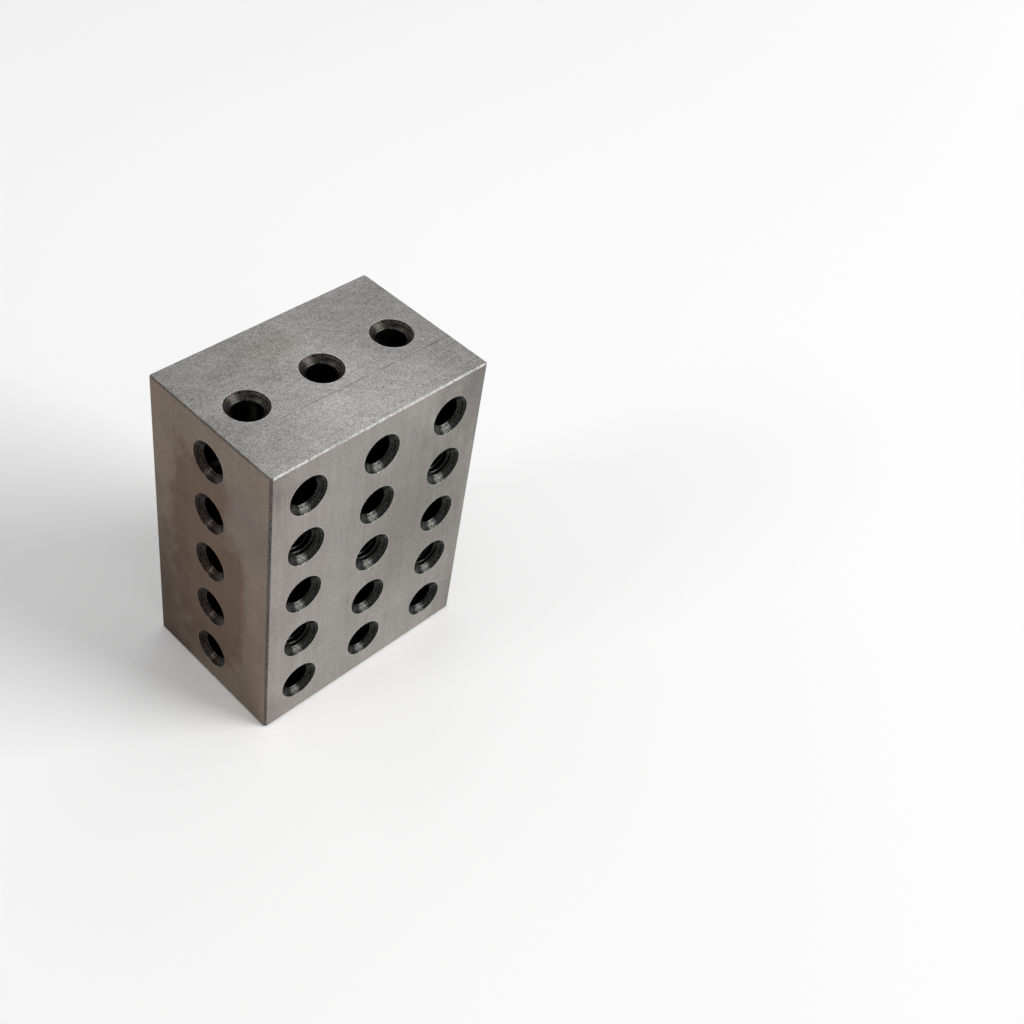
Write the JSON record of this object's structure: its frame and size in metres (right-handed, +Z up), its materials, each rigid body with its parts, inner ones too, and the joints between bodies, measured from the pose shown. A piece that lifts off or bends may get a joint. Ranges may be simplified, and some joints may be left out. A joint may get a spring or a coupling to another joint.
{
  "type": "machinist setup block",
  "caption": "Ground steel setup block with bevelled edges, drilled through on all three axes with countersunk plain and tapped holes, for propping and bolting work square.",
  "frame": {"origin": "middle of the bottom face, on the surface that the block stands on", "axes": "+X across the 3 in width, +Y through the 2 in depth to the back, +Z up the 4 in height"},
  "size_m": [0.0762, 0.0508, 0.1016],
  "materials": {
    "ground_steel": "surface-ground faces with fine grinding lines, dark oxide left in the countersinks and bores"
  },
  "bodies": {
    "root": {"setup_block": "ground_steel"}
  },
  "joints": []
}
